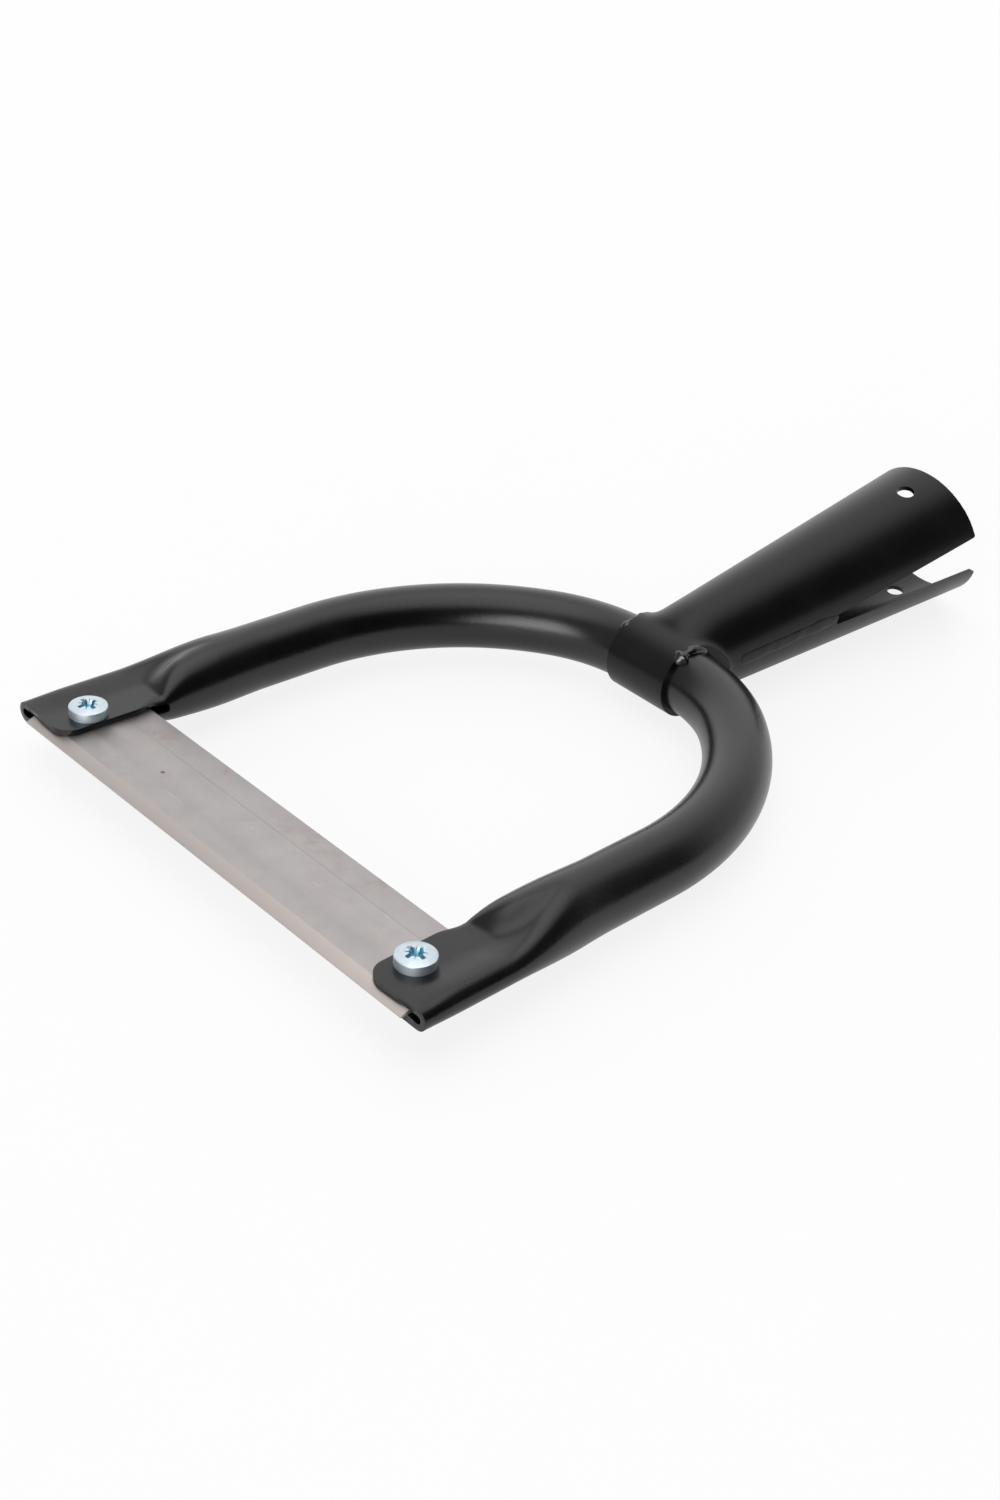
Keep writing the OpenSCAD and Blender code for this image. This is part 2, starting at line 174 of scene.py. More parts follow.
class Value:
    """Wraps one shader socket, so that patterns are added and multiplied as plain values."""

    def __init__(self, shader, socket):
        self.shader = shader
        self.socket = socket

    def math(self, operation, *terms):
        """The result of one Math node on the given terms."""
        return self.shader.add("Math", {"operation": operation}, dict(enumerate(terms)))

    def __add__(self, other):
        return self.math("ADD", self, other)

    def __sub__(self, other):
        return self.math("SUBTRACT", self, other)

    def __rsub__(self, other):
        return self.math("SUBTRACT", other, self)

    def __mul__(self, other):
        return self.math("MULTIPLY", self, other)

    __radd__ = __add__
    __rmul__ = __mul__

    def size(self):
        """The value without its sign."""
        return self.math("ABSOLUTE", self)

    def ramp(self, low, high, to_low=0.0, to_high=1.0):
        """The value brought smoothly from one range to another."""
        return self.shader.add("MapRange", {"interpolation_type": "SMOOTHSTEP"},
                               {"Value": self, "From Min": low, "From Max": high,
                                "To Min": to_low, "To Max": to_high})


class Nodes:
    """One node tree, in which patterns are built."""

    def __init__(self, tree):
        self.tree = tree

    def add(self, kind, settings=None, inputs=None, output=0):
        """Adds a node of a kind, with its settings first and then the values or links of its sockets."""
        node = self.tree.nodes.new("ShaderNode" + kind)
        for key, setting in (settings or {}).items():
            setattr(node, key, setting)
        for key, given in (inputs or {}).items():
            if isinstance(given, Value):
                self.tree.links.new(given.socket, node.inputs[key])
            else:
                node.inputs[key].default_value = given
        return Value(self, node.outputs[output])

    def seen(self, in_gloss=0.0):
        """1 for what the camera sees straight or through glass, and a share of it in reflections."""
        path = self.tree.nodes.new("ShaderNodeLightPath")
        straight, through, gloss = (Value(self, path.outputs[f"Is {ray} Ray"])
                                    for ray in ("Camera", "Transmission", "Glossy"))
        return straight.math("MAXIMUM", straight.math("MAXIMUM", straight, through), gloss * in_gloss)


# The Mix node's sockets by number: its factor, its numbers, its colours and the colour that comes out
MIX_FACTOR = 0
MIX_NUMBERS = (2, 3)
MIX_COLOURS = (6, 7)
MIX_RESULT = 2


class Shader(Nodes):
    """One node-based material on a Principled shader."""

    def __init__(self, name, metallic=0.0, specular=0.5):
        self.material = bpy.data.materials.new(name)
        self.material.use_nodes = True
        super().__init__(self.material.node_tree)
        self.surface = self.tree.nodes["Principled BSDF"]
        self.surface.inputs["Metallic"].default_value = metallic
        self.surface.inputs["Specular IOR Level"].default_value = specular
        self.place = self.add("TexCoord", output="Object")

    def stretch(self, x, y, z):
        """The place on the object, scaled along each axis."""
        return self.add("Mapping", None, {"Vector": self.place, "Scale": (x, y, z)})

    def noise(self, scale, detail, roughness, place=None, distortion=0.0):
        """Cloudy pattern from 0 to 1, by its features per metre, its detail and the strength of that."""
        return self.add("TexNoise", None, {"Vector": place or self.place, "Scale": scale, "Detail": detail,
                                           "Roughness": roughness, "Distortion": distortion})

    def axis(self, name):
        """One coordinate of the place on the object, in metres."""
        return self.add("SeparateXYZ", None, {0: self.place}, output=name)

    def blend(self, mask, first, second):
        """A colour that goes from the first to the second as the mask goes from 0 to 1."""
        inputs = {MIX_FACTOR: mask, MIX_COLOURS[0]: opaque(first), MIX_COLOURS[1]: opaque(second)}
        return self.add("Mix", {"data_type": "RGBA"}, inputs, output=MIX_RESULT)

    def bump(self, height, strength, depth):
        """A normal bent by a height pattern."""
        return self.add("Bump", None, {"Height": height, "Strength": strength, "Distance": depth})

    def finish(self, **sockets):
        """Feeds the Principled shader and returns the material."""
        for name, given in sockets.items():
            socket = self.surface.inputs[name.replace("_", " ")]
            if isinstance(given, Value):
                self.tree.links.new(given.socket, socket)
            else:
                socket.default_value = given
        return self.material


def opaque(value):
    """A plain colour with its alpha, or a linked value as it is."""
    return value if isinstance(value, Value) else (*value, 1.0)


def dimmed(plain, share):
    """A plain colour at a share of its brightness."""
    return [part * share for part in plain]


# Finishes

# The blade: half widths of the line at the back grind and of the bevel's soft edge, the width over which
# the stains come up behind that line, the tint of scratches, and the rust spot's place from the middle
# between the screws with the radii where it ends and where it is full
GRIND_LINE = 0.35 * MM
BEVEL_BLUR = 0.3 * MM
STAIN_BLUR = 2 * MM
SCRATCH_TINT = (0.66, 0.65, 0.64)
RUST_SPOT = (1.0 * MM, 39.9 * MM)
RUST_RADII = (0.9 * MM, 0.4 * MM)

# The zinc: what haze leaves of its red, green and blue, depths under the head's crest between which the
# recess's blue cast comes up, goes out again and the head's wall begins, and shares of the head's radius
# where the cast ends and is full
HAZE = (0.86, 0.93, 0.98)
CAST_BEGINS = (0.5 * MM, 0.9 * MM)
CAST_ENDS = (3.4 * MM, 2.9 * MM)
WALL_BEGINS = (1.0 * MM, 1.4 * MM)
CAST_REACH = (0.7, 0.55)


def powder_coat(name, colours, peel, roughness, specular=0.5):
    """Satin black coating with orange peel, faint clouds in its gloss and fine dust."""
    coat = Shader(name, specular=specular)
    peel_height = coat.noise(900, 2.0, 0.45) * 0.6 + coat.noise(2600, 2.0, 0.6) * 0.4
    clouds = coat.noise(60, 4.0, 0.6)
    specks = coat.noise(5200, 1.0, 0.5).ramp(0.7, 0.78)
    dust = clouds.ramp(0.45, 0.75, 0.0, 0.35) + specks * 0.25
    return coat.finish(Base_Color=coat.blend(dust, colours.paint, colours.paint_edge),
                       Roughness=roughness + clouds * 0.08 + specks * 0.1,
                       Normal=coat.bump(peel_height, strength=peel, depth=0.12 * MM))


def ground_steel(colours, sizes):
    """Bare strip steel: grain, mottling, brown stains, scratches, two ground bands and a rust spot."""
    steel = Shader("blade_steel", metallic=1.0)
    across = steel.axis("X") - (ORIGIN.x - BLADE_LEAD)
    grain = steel.noise(500, 3.0, 0.6, steel.stretch(1.0, 0.06, 1.0))
    mottle = steel.noise(110, 5.0, 0.65)
    stains = steel.noise(45, 5.0, 0.7).ramp(0.5, 0.75)
    scratch = steel.noise(800, 1.0, 0.5, steel.stretch(1.0, 0.12, 1.0), 1.5).ramp(0.74, 0.8)
    back = sizes.width - sizes.back_grind
    line = 1 - (across - back).size().ramp(0.0, GRIND_LINE)
    behind = across.ramp(back, back + STAIN_BLUR)
    bevel = across.ramp(sizes.bevel + BEVEL_BLUR, sizes.bevel - BEVEL_BLUR)
    spot = steel.add("VectorMath", {"operation": "DISTANCE"},
                     {0: steel.place, 1: ORIGIN + Vector((*RUST_SPOT, sizes.thickness / 2))},
                     output="Value")
    tint = steel.blend(mottle.ramp(0.35, 0.7) * 0.3, colours.steel, dimmed(colours.steel, 0.86))
    tint = steel.blend(stains * (0.2 + behind * 0.5), tint, colours.stain)
    tint = steel.blend(bevel * 0.6, tint, colours.bevel)
    tint = steel.blend(line * 0.4, tint, dimmed(colours.steel, 0.6))
    tint = steel.blend(spot.ramp(*RUST_RADII) * 0.8, tint, colours.rust)
    tint = steel.blend(scratch * 0.3, tint, SCRATCH_TINT)
    height = grain * 0.4 + mottle * 0.4 - scratch * 0.4 - line * 1.5
    return steel.finish(Base_Color=tint, Roughness=0.42 + mottle * 0.14 - scratch * 0.1,
                        Normal=steel.bump(height, strength=0.35, depth=0.05 * MM))


def zinc_plate(colours, sizes, seat):
    """Bright bluish zinc with fine turning marks and cloudy passivation, blue in the recesses."""
    plate = Shader("zinc_plate", metallic=1.0)
    crest = ORIGIN.z + seat + sizes.head_h
    height = plate.axis("Z")

    def below(depths):
        """Goes from 0 to 1 between two depths under the head's crest."""
        return height.ramp(*(crest - depth for depth in depths))

    clouds = plate.noise(700, 3.0, 0.6)
    streaks = plate.noise(900, 2.0, 0.6, plate.stretch(1.0, 1.0, 0.08))
    across = plate.axis("X") - ORIGIN.x
    along = plate.axis("Y").size() - sizes.spacing / 2
    near = (across * across + along * along).ramp(*((share * sizes.head_r) ** 2 for share in CAST_REACH))
    hazy = [part * share for part, share in zip(colours.zinc, HAZE)]
    tint = plate.blend(clouds.ramp(0.35, 0.7), colours.zinc, hazy)
    tint = plate.blend(below(CAST_BEGINS) * below(CAST_ENDS) * near * 0.8, tint, colours.recess)
    wall = below(WALL_BEGINS) * (1 - near)
    return plate.finish(Base_Color=tint, Roughness=0.24 + clouds * 0.14 + streaks * 0.1 + wall * 0.18,
                        Normal=plate.bump(streaks + clouds, strength=0.25, depth=0.04 * MM))


def moulded_nylon(colours):
    """Milky nylon with a faint grain."""
    nylon = Shader("nylon")
    clouds = nylon.noise(900, 3.0, 0.6)
    return nylon.finish(Base_Color=nylon.blend(clouds, colours.nylon, dimmed(colours.nylon, 0.85)),
                        Roughness=0.4 + clouds * 0.2,
                        Normal=nylon.bump(clouds, strength=0.3, depth=0.05 * MM))


# Modelling

# Points closer than this are merged
DOUBLES = 0.002 * MM

# The tool that drills the screws' holes: the points round it and half its length
HOLE_POINTS = 48
DRILL_HALF = 20 * MM


def begin():
    """Leaves nothing selected, so that the next operator works on its own piece alone."""
    bpy.ops.object.select_all(action="DESELECT")


def named(name):
    """The object that the last operator made, under its name."""
    piece = bpy.context.object
    piece.name = piece.data.name = name
    return piece


def alone(piece):
    """Makes a piece the only selected and the active one."""
    begin()
    piece.select_set(True)
    bpy.context.view_layer.objects.active = piece


def edit(piece):
    """Opens a piece in edit mode with nothing selected."""
    alone(piece)
    bpy.ops.object.mode_set(mode="EDIT")
    bpy.ops.mesh.select_mode(type="VERT")
    bpy.ops.mesh.select_all(action="DESELECT")


def done():
    """Leaves edit mode."""
    bpy.ops.object.mode_set(mode="OBJECT")


def pick(piece, kind, test):
    """In edit mode, selects only the vertices, edges or faces that pass a test."""
    bpy.ops.mesh.select_mode(type=kind)
    bpy.ops.mesh.select_all(action="DESELECT")
    shape = bmesh.from_edit_mesh(piece.data)
    shape.normal_update()
    parts = {"VERT": shape.verts, "EDGE": shape.edges, "FACE": shape.faces}[kind]
    found = 0
    for part in parts:
        if test(part):
            part.select_set(True)
            found += 1
    shape.select_flush_mode()
    bmesh.update_edit_mesh(piece.data)
    return found


def edge_middle(edge):
    """The middle of an edge."""
    return (edge.verts[0].co + edge.verts[1].co) / 2


def extrude(offset):
    """Extrudes the selection and moves it by an offset."""
    bpy.ops.mesh.extrude_region_move(TRANSFORM_OT_translate={"value": offset})


def settle(piece):
    """Puts a piece's place into its mesh, with its object at the origin."""
    alone(piece)
    bpy.ops.object.transform_apply(location=True, rotation=True, scale=True)


def modify(piece, kind, **settings):
    """Adds a modifier with its settings and applies it."""
    alone(piece)
    modifier = piece.modifiers.new(kind.title(), kind)
    for key, setting in settings.items():
        setattr(modifier, key, setting)
    bpy.ops.object.modifier_apply(modifier=modifier.name)


def cut(piece, tool, operation="DIFFERENCE"):
    """Applies a Boolean with a tool, which is then deleted."""
    settle(tool)
    modify(piece, "BOOLEAN", object=tool, operation=operation, solver="EXACT")
    bpy.data.objects.remove(tool)


def face_outwards(piece):
    """Merges doubles and turns every face outwards."""
    edit(piece)
    bpy.ops.mesh.select_all(action="SELECT")
    bpy.ops.mesh.remove_doubles(threshold=DOUBLES)
    bpy.ops.mesh.normals_make_consistent(inside=False)
    done()


def bevel_sharp(piece, width, angle, segments, test=None):
    """Rounds the edges whose faces meet at more than an angle and whose middle passes any test given."""
    edit(piece)
    limit = math.radians(angle)

    def sharp(edge):
        return (len(edge.link_faces) == 2 and edge.calc_face_angle(0) > limit
                and (test is None or test(edge_middle(edge))))

    if pick(piece, "EDGE", sharp):
        bpy.ops.mesh.bevel(offset=width, segments=segments, profile=0.6, clamp_overlap=True)
    done()


def smooth(piece, angle):
    """Smooth shading with edges kept where faces meet at more than an angle."""
    alone(piece)
    bpy.ops.object.shade_smooth_by_angle(angle=math.radians(angle))


def deliver(piece, material, slot, *nodes):
    """Finishes a piece, with its place in its mesh, and hides the solids that it stands for."""
    settle(piece)
    piece.data.materials.clear()
    piece.data.materials.append(material)
    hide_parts(*nodes)
    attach(piece, BODY)


def points_of(piece):
    """The places of a mesh's vertices as rows."""
    rows = np.empty(len(piece.data.vertices) * 3)
    piece.data.vertices.foreach_get("co", rows)
    return rows.reshape(-1, 3)


def move_points(piece, rows):
    """Gives a mesh's vertices new places."""
    piece.data.vertices.foreach_set("co", rows.ravel())
    piece.data.update()


def ease(share):
    """Goes from 0 to 1 with level ends."""
    share = np.clip(share, 0, 1)
    return share * share * (3 - 2 * share)


def between(first, second, share):
    """What lies at a share of the way from the first to the second."""
    return first + (second - first) * share


def rod(name, radius, start, end, vertices, end_radius=None):
    """A round bar or cone between two points of the screws' frame, as a tool or a blank."""
    begin()
    start, end = Vector(start), Vector(end)
    turn = UP.rotation_difference(end - start)
    bpy.ops.mesh.primitive_cone_add(vertices=vertices, radius1=radius,
                                    radius2=radius if end_radius is None else end_radius,
                                    depth=(end - start).length, location=ORIGIN + (start + end) / 2,
                                    rotation=turn.to_euler())
    piece = named(name)
    settle(piece)
    return piece


def drill_for_screws(piece, fixing):
    """Cuts the holes for the two screws."""
    for sign in SIDES.values():
        across = sign * fixing.spacing / 2
        cut(piece, rod("hole", fixing.hole_r, (0, across, -DRILL_HALF), (0, across, DRILL_HALF),
                       HOLE_POINTS))


# The bow

# Points round the tube, and the steps that its crown, shoulder, side, straight arm and front corner take
RING_POINTS = 80
CROWN_STEPS = 4
SHOULDER_STEPS = 18
SIDE_STEPS = 40
STRAIGHT_STEPS = 11
CORNER_STEPS = 11

# Distance between the rings of the pressed end, and from the slot's end to the first ring that it opens
PRESSED_STEP = 0.75 * MM
SLOT_STEP = 0.12 * MM

# Points on each of the three parts of a half section, the digits and the distance that tell its rings
# apart, and the share of the tube's radius past which a point lies on the inner side
SECTION_POINTS = 60
RING_DIGITS = 7
SAME_RING = 1e-6
INNER_SHARE = 0.9

# Fast rise of the inner side: how far in front of the slot's end it begins on the upper and on the lower
# half, the length that it takes, and its share of the whole rise
RISE_LEAD = {1: 1.5 * MM, -1: 6.5 * MM}
RISE_LENGTH = 11 * MM
FAST_SHARE = 0.66

# Slow swelling of both sides to the round tube: how far in front of the slot's end it begins, and its
# length
SWELL_LEAD = 6 * MM
SWELL_LENGTH = 32 * MM

# How much greater than the lips' half height the fold's radius is at the cut end and from a length behind
# it on
FOLD_EXTRA = (0.3 * MM, 1.1 * MM)
FOLD_LENGTH = 14 * MM

# Top between the two sides: the length behind the slot over which its middle leaves the lips' height, the
# share of the width over which the inner side's hump falls off, and the share on the lug that the fold
# leaves level
RAMP_LENGTH = 16 * MM
HUMP_SHARE = 0.9
FLAT_SHARE = 0.5

# How far the inner side bulges halfway along the pressed stretch, the length over which the lips uncurl in
# front of the slot's end, and how far behind it the cut edges are still rounded
PRESS_BULGE = 0.8 * MM
CURL_LENGTH = 12 * MM
ROUNDED_PAST = 1 * MM


class Arm:
    """The bow's straight arm on the left side, with the lengths along it that shape its pressed end."""

    def __init__(self, sizes):
        spread = sizes.arm_spread
        turn = Vector((math.cos(sizes.shoulder_turn), math.sin(sizes.shoulder_turn), 0))
        self.shoulder_centre = Vector((sizes.reach - sizes.shoulder_r, sizes.crown, 0))
        self.side_centre = self.shoulder_centre + (sizes.shoulder_r - sizes.side_r) * turn
        self.root = self.side_centre + sizes.side_r * Vector((math.sin(spread), math.cos(spread), 0))
        self.along = Vector((-math.cos(spread), math.sin(spread), 0))
        self.inboard = Vector((-math.sin(spread), -math.cos(spread), 0))
        self.front = (self.root.x + sizes.lip_front) / math.cos(spread)
        self.slot = (self.root.x - sizes.slot_back) / math.cos(spread)
        self.round = (self.root.x - sizes.round_back) / math.cos(spread)
        self.lug = self.front - sizes.lug_length
        self.corner = self.front - sizes.corner_r
        self.sizes = sizes

    def stations(self):
        """Where the rings of the pressed end lie, closest at the slot's end and the rounded corner."""
        behind = np.linspace(self.round, self.slot, round((self.slot - self.round) / PRESSED_STEP) + 1)
        ahead = np.linspace(self.slot + SLOT_STEP, self.corner,
                            round((self.corner - self.slot) / PRESSED_STEP) + 1)
        turns = np.linspace(0, math.pi / 2, CORNER_STEPS + 1)[1:]
        return np.concatenate([behind, ahead, self.corner + self.sizes.corner_r * np.sin(turns)])

    def half_section(self, at, lead):
        """Half of the skin's section, from the slot over the top to the fold, with its fast rise's lead."""
        sizes = self.sizes
        pressed = min(max((at - self.round) / (self.lug - self.round), 0), 1)
        near_slot = 1 - min(max((self.slot + lead - at) / RISE_LENGTH, 0), 1)
        slow = float(ease((self.slot + SWELL_LEAD - at) / SWELL_LENGTH))
        risen = FAST_SHARE * (1 - near_slot ** 2) + (1 - FAST_SHARE) * slow
        extra = between(*FOLD_EXTRA, float(ease((self.front - at) / FOLD_LENGTH)))
        radius_in = between(sizes.lip_half, sizes.tube_r, risen)
        radius_out = between(sizes.lip_half + extra, sizes.tube_r, slow)
        narrowed = float(ease(1 - pressed))
        bulge = PRESS_BULGE * math.sin(math.pi * pressed)
        side_in = between(sizes.lip_inboard, sizes.tube_r, narrowed) + bulge
        side_out = between(sizes.fold_outboard, sizes.tube_r, narrowed)
        centre_in, centre_out = side_in - radius_in, radius_out - side_out
        touch = math.pi / 2
        start = 0.0
        if at > self.slot:
            opened = float(ease((at - self.slot) / CURL_LENGTH))
            start = between(math.asin(sizes.slot_half / radius_in), touch, opened)
            past = max(at - self.corner, 0)
            pulled = sizes.corner_r - math.sqrt(max(sizes.corner_r ** 2 - past ** 2, 0))
            edge = centre_in + radius_in * math.cos(start)
            centre_in += opened * (sizes.lip_inboard - pulled - edge)
        inner = np.linspace(start, touch, SECTION_POINTS)
        outer = np.linspace(touch, math.pi, SECTION_POINTS)
        across = np.linspace(0, 1, SECTION_POINTS)[1:-1]
        ramp = float(ease((self.slot - at) / RAMP_LENGTH))
        middle = between(sizes.lip_half, (radius_in + radius_out) / 2, ramp)
        flat = FLAT_SHARE * pressed
        top = middle + (radius_in - middle) * (1 - ease(across / HUMP_SHARE))
        top = top + (radius_out - middle) * ease((across - flat) / (1 - flat))
        return np.concatenate([
            np.stack([centre_in + radius_in * np.cos(inner), radius_in * np.sin(inner)], 1),
            np.stack([between(centre_in, centre_out, across), top], 1),
            np.stack([centre_out + radius_out * np.cos(outer), radius_out * np.sin(outer)], 1)])

    def press(self, rows, halves):
        """Moves the points of the pressed end from the round tube to their places on the flattened skin."""
        root, along, inboard = (np.array(way) for way in (ORIGIN + self.root, self.along, self.inboard))
        off = rows - root
        at = off @ along
        inwards = off @ inboard
        height = off[:, 2]
        pressed = at > self.round + SAME_RING
        turn = np.arctan2(np.abs(height), inwards) / math.pi
        for place in np.unique(np.round(at[pressed], RING_DIGITS)):
            for half, lead in RISE_LEAD.items():
                ring = pressed & (np.abs(at - place) < SAME_RING) & (halves == half)
                section = self.half_section(place, lead)
                steps = np.linalg.norm(np.diff(section, axis=0), axis=1)
                lengths = np.concatenate([[0], np.cumsum(steps)])
                share = turn[ring] * lengths[-1]
                inwards[ring] = np.interp(share, lengths, section[:, 0])
                height[ring] = np.interp(share, lengths, section[:, 1]) * half
        return root + np.outer(at, along) + np.outer(inwards, inboard) + np.outer(height, UP)


def skin_halves(piece, rows):
    """1 for points of the upper skin and -1 for the lower. Where a point is level, its faces tell which."""
    halves = np.where(rows[:, 2] >= ORIGIN.z, 1.0, -1.0)
    lean = np.zeros(len(rows))
    for face in piece.data.polygons:
        for corner in face.vertices:
            lean[corner] += face.center.z - ORIGIN.z
    level = np.abs(rows[:, 2] - ORIGIN.z) < CLOSE
    halves[level] = np.sign(lean[level])
    halves[level & (np.abs(lean) < TINY)] = 1.0
    return halves


class SPUD_OT_bow(Operator):
    """Bends the tube to a bow, presses its ends flat and slits them for the blade"""
    bl_idname = "spud.bow"
    bl_label = "Bow"

    def execute(self, context):
        sizes = context.scene.bow_sizes
        arm = Arm(sizes)
        begin()
        bpy.ops.mesh.primitive_circle_add(vertices=RING_POINTS, radius=sizes.tube_r,
                                          rotation=(math.pi / 2, 0, 0),
                                          location=ORIGIN + Vector((sizes.reach, 0, 0)))
        bow = named("bow")
        settle(bow)
        edit(bow)
        bpy.ops.mesh.select_all(action="SELECT")
        for _ in range(CROWN_STEPS):
            extrude((0, sizes.crown / CROWN_STEPS, 0))
        side_turn = math.pi / 2 - sizes.arm_spread - sizes.shoulder_turn
        for steps, turn, centre in ((SHOULDER_STEPS, sizes.shoulder_turn, arm.shoulder_centre),
                                    (SIDE_STEPS, side_turn, arm.side_centre)):
            bpy.ops.mesh.spin(steps=steps, angle=-turn, center=ORIGIN + centre, axis=UP)
        stations = arm.stations()
        straight = np.linspace(0, stations[0], STRAIGHT_STEPS + 1)[1:]
        before = 0.0
        for station in [*straight, *stations[1:]]:
            extrude(arm.along * float(station - before))
            before = station
        root = ORIGIN + arm.root

        def on_slot(edge):
            at = (edge_middle(edge) - root).dot(arm.along)
            inner = all((v.co - root).dot(arm.inboard) > sizes.tube_r * INNER_SHARE for v in edge.verts)
            level = all(abs(v.co.z - ORIGIN.z) < CLOSE for v in edge.verts)
            return at > arm.slot and inner and level

        pick(bow, "EDGE", on_slot)
        bpy.ops.mesh.edge_split()
        done()
        rows = points_of(bow)
        move_points(bow, arm.press(rows, skin_halves(bow, rows)))
        modify(bow, "MIRROR", use_axis=(False, True, False), use_mirror_merge=True, merge_threshold=CLOSE)
        face_outwards(bow)
        modify(bow, "SOLIDIFY", thickness=sizes.wall, offset=-1, use_rim=True, use_quality_normals=True)
        drill_for_screws(bow, context.scene.fixing_sizes)
        cut_edges = ORIGIN.x + sizes.slot_back + ROUNDED_PAST
        bevel_sharp(bow, sizes.edge, angle=55, segments=2, test=lambda place: place.x < cut_edges)
        smooth(bow, angle=40)
        paint = powder_coat("bow_paint", context.scene.spud_colours, peel=0.45, roughness=0.2)
        deliver(bow, paint, "bow_paint", "bow_tube")
        return {"FINISHED"}


# The blade

# Rounding of the blade's edges, and how near to an edge of the strip its points are picked
BLADE_ROUNDING = 0.12 * MM
NEAR_EDGE = 0.1 * MM


class SPUD_OT_blade(Operator):
    """Grinds the bevel and the back of the flat strip and drills it"""
    bl_idname = "spud.blade"
    bl_label = "Blade"

    def execute(self, context):
        sizes = context.scene.blade_sizes
        front = ORIGIN.x - BLADE_LEAD
        back = front + sizes.width
        begin()
        bpy.ops.mesh.primitive_cube_add(size=1, location=(front + sizes.width / 2, 0, ORIGIN.z),
                                        scale=(sizes.width, sizes.length, sizes.thickness))
        blade = named("blade_strip")
        settle(blade)
        edit(blade)
        for line in (front + sizes.bevel, back - sizes.back_grind):
            bpy.ops.mesh.select_all(action="SELECT")
            bpy.ops.mesh.bisect(plane_co=(line, 0, ORIGIN.z), plane_no=(1, 0, 0))
        top = ORIGIN.z + sizes.thickness / 2 - NEAR_EDGE
        pick(blade, "VERT", lambda v: v.co.x < front + NEAR_EDGE and v.co.z > top)
        bpy.ops.transform.translate(value=(0, 0, sizes.edge - sizes.thickness))
        pick(blade, "VERT", lambda v: v.co.x > back - NEAR_EDGE and v.co.z > top)
        bpy.ops.transform.translate(value=(0, 0, -sizes.back_depth))
        done()
        drill_for_screws(blade, context.scene.fixing_sizes)
        bevel_sharp(blade, BLADE_ROUNDING, angle=40, segments=2)
        smooth(blade, angle=20)
        deliver(blade, ground_steel(context.scene.spud_colours, sizes), "blade_steel", "blade")
        return {"FINISHED"}


# Screws and nuts

# The head: share of its height up to the rim, points round it, rings of its crest, how much of its last
# step is taken, and the rim's rounding. The shank: its share of the thread's radius, and its tip's length
# and taper.
RIM_SHARE = 0.76
HEAD_POINTS = 96
CREST_RINGS = 8
LAST_STEP_SHARE = 0.98
RIM_ROUNDING = 0.35 * MM
SHANK_SHARE = 0.97
TIP_LENGTH = 0.7 * MM
TIP_TAPER = 0.8

# How nearly upright a face's normal is when it faces up or down
UPRIGHT = 0.9

# The recess's core narrows downwards: its depth under the crest and its radius there, and the height over
# the crest to which it is made and its radius there
CORE_LOW = (2.6 * MM, 1.1 * MM)
CORE_HIGH = (1.7 * MM, 2.7 * MM)
CORE_POINTS = 16

# The recess's wings: turn in degrees, then width, reach to both sides and depth in millimetres. The broad
# two are the cross, and the narrow two its star marks. Their height over the crest and what is left at
# their foot follow.
WINGS = ((0, 1.7, 4.6, 2.3), (90, 1.7, 4.6, 2.25), (45, 0.5, 4.9, 0.9), (135, 0.5, 4.9, 0.85))
WING_TOP = 2
WING_FOOT = (0.5, 0.6, 1)


def zinc(context):
    """The zinc finish, made once for the screws and nuts."""
    scene = context.scene
    return bpy.data.materials.get("zinc_plate") or zinc_plate(scene.spud_colours, scene.fixing_sizes,
                                                        scene.bow_sizes.lip_half)


